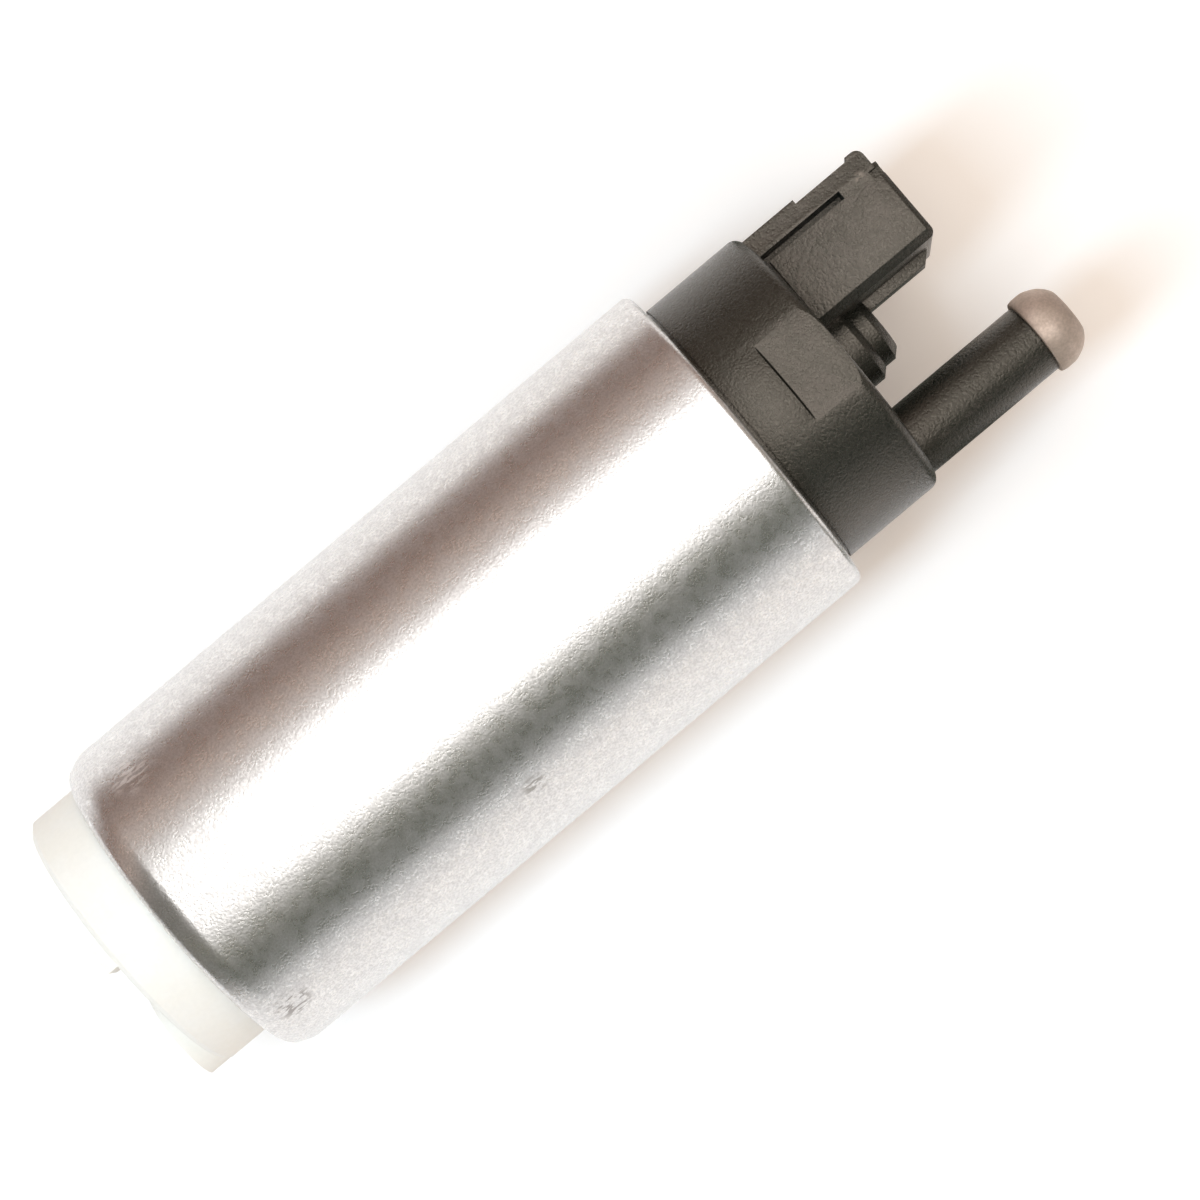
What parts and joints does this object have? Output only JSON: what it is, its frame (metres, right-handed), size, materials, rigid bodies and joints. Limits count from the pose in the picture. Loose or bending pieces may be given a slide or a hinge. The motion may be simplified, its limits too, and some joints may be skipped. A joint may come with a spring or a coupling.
{
  "type": "electric fuel pump",
  "caption": "Electric in-tank fuel pump: a rolled steel can with a black end cap carrying a plug socket, a relief boss and a ferruled outlet tube, and a white inlet body at the other end.",
  "frame": {"origin": "on the pump axis, at the middle of the armature core, half a millimetre from mid-way along the can", "axes": "+X along the pump axis towards the outlet, +Y towards the plug socket, -Y towards the outlet tube, +Z towards the flat on the end cap, which faces up as the pump lies on its side"},
  "size_m": [0.1209, 0.039, 0.039],
  "materials": {
    "can_steel": "satin",
    "cap_plastic": "matte",
    "ferrule_metal": "satin",
    "terminal_metal": "satin",
    "valve_brass": "satin",
    "ball_steel": "polished",
    "spring_steel": "satin",
    "poppet_plastic": "satin",
    "holder_plastic": "matte",
    "bearing_bronze": "matte",
    "brush_carbon": "matte",
    "lead_copper": "satin",
    "flux_steel": "satin",
    "magnet_ferrite": "matte",
    "shaft_steel": "polished",
    "core_steel": "matte",
    "insulator_board": "matte",
    "winding_copper": "satin",
    "washer_plastic": "satin",
    "pump_steel": "satin",
    "rotor_steel": "satin",
    "screw_steel": "satin",
    "inlet_plastic": "satin",
    "seal_rubber": "matte"
  },
  "bodies": {
    "case": {"can_shell": "can_steel", "outlet_end_cap": "cap_plastic", "outlet_ferrule": "ferrule_metal", "terminal_positive": "terminal_metal", "terminal_negative": "terminal_metal", "relief_valve_seat": "valve_brass", "relief_plug": "valve_brass", "relief_spring": "spring_steel", "check_valve_seat": "valve_brass", "check_guide": "poppet_plastic", "check_spring": "spring_steel", "brush_holder": "holder_plastic", "upper_bearing": "bearing_bronze", "lower_bearing": "bearing_bronze", "brush_spring_positive": "spring_steel", "brush_spring_negative": "spring_steel", "brush_lead_positive": "lead_copper", "brush_lead_negative": "lead_copper", "flux_ring": "flux_steel", "magnet_north": "magnet_ferrite", "magnet_south": "magnet_ferrite", "magnet_clips": "spring_steel", "inlet_port_plate": "pump_steel", "cam_ring": "pump_steel", "discharge_port_plate": "pump_steel", "pump_screws": "screw_steel", "inlet_body": "inlet_plastic", "pump_seal": "seal_rubber", "cap_seal": "seal_rubber"},
    "armature": {"armature_shaft": "shaft_steel", "armature_core": "core_steel", "core_end_insulators": "insulator_board", "armature_windings": "winding_copper", "commutator_hub": "holder_plastic", "commutator_segments": "brush_carbon", "thrust_washer": "washer_plastic", "inner_rotor": "rotor_steel"},
    "outer_rotor": {"outer_rotor": "rotor_steel"},
    "relief_ball": {"relief_ball": "ball_steel"},
    "check_poppet": {"check_poppet": "poppet_plastic"},
    "brush_positive": {"brush_positive": "brush_carbon"},
    "brush_negative": {"brush_negative": "brush_carbon"}
  },
  "joints": [
    {"name": "armature_spin", "type": "hinge", "parent": "case", "child": "armature", "pos_m": [0, 0, 0], "axis": [1, 0, 0], "continuous": true},
    {"name": "outer_rotor_spin", "type": "hinge", "parent": "case", "child": "outer_rotor", "pos_m": [-0.027, 0, 0.00095], "axis": [1, 0, 0], "continuous": true},
    {"name": "relief_valve_lift", "type": "slide", "parent": "case", "child": "relief_ball", "axis": [1, 0, 0], "range_m": [0, 0.0012], "stiffness_N_per_m": 1500, "springref_m": -0.0015, "deforming": ["relief_spring"]},
    {"name": "check_valve_lift", "type": "slide", "parent": "case", "child": "check_poppet", "axis": [1, 0, 0], "range_m": [0, 0.002], "stiffness_N_per_m": 150, "springref_m": -0.003, "deforming": ["check_spring"]},
    {"name": "brush_positive_slide", "type": "slide", "parent": "case", "child": "brush_positive", "axis": [1, 0, 0], "range_m": [0, 0.0015], "stiffness_N_per_m": 250, "springref_m": -0.004, "deforming": ["brush_spring_positive", "brush_lead_positive"]},
    {"name": "brush_negative_slide", "type": "slide", "parent": "case", "child": "brush_negative", "axis": [1, 0, 0], "range_m": [0, 0.0015], "stiffness_N_per_m": 250, "springref_m": -0.004, "deforming": ["brush_spring_negative", "brush_lead_negative"]}
  ],
  "couplings": [
    {"joint": "outer_rotor_spin", "follows": "armature_spin", "ratio": 0.85714}
  ]
}
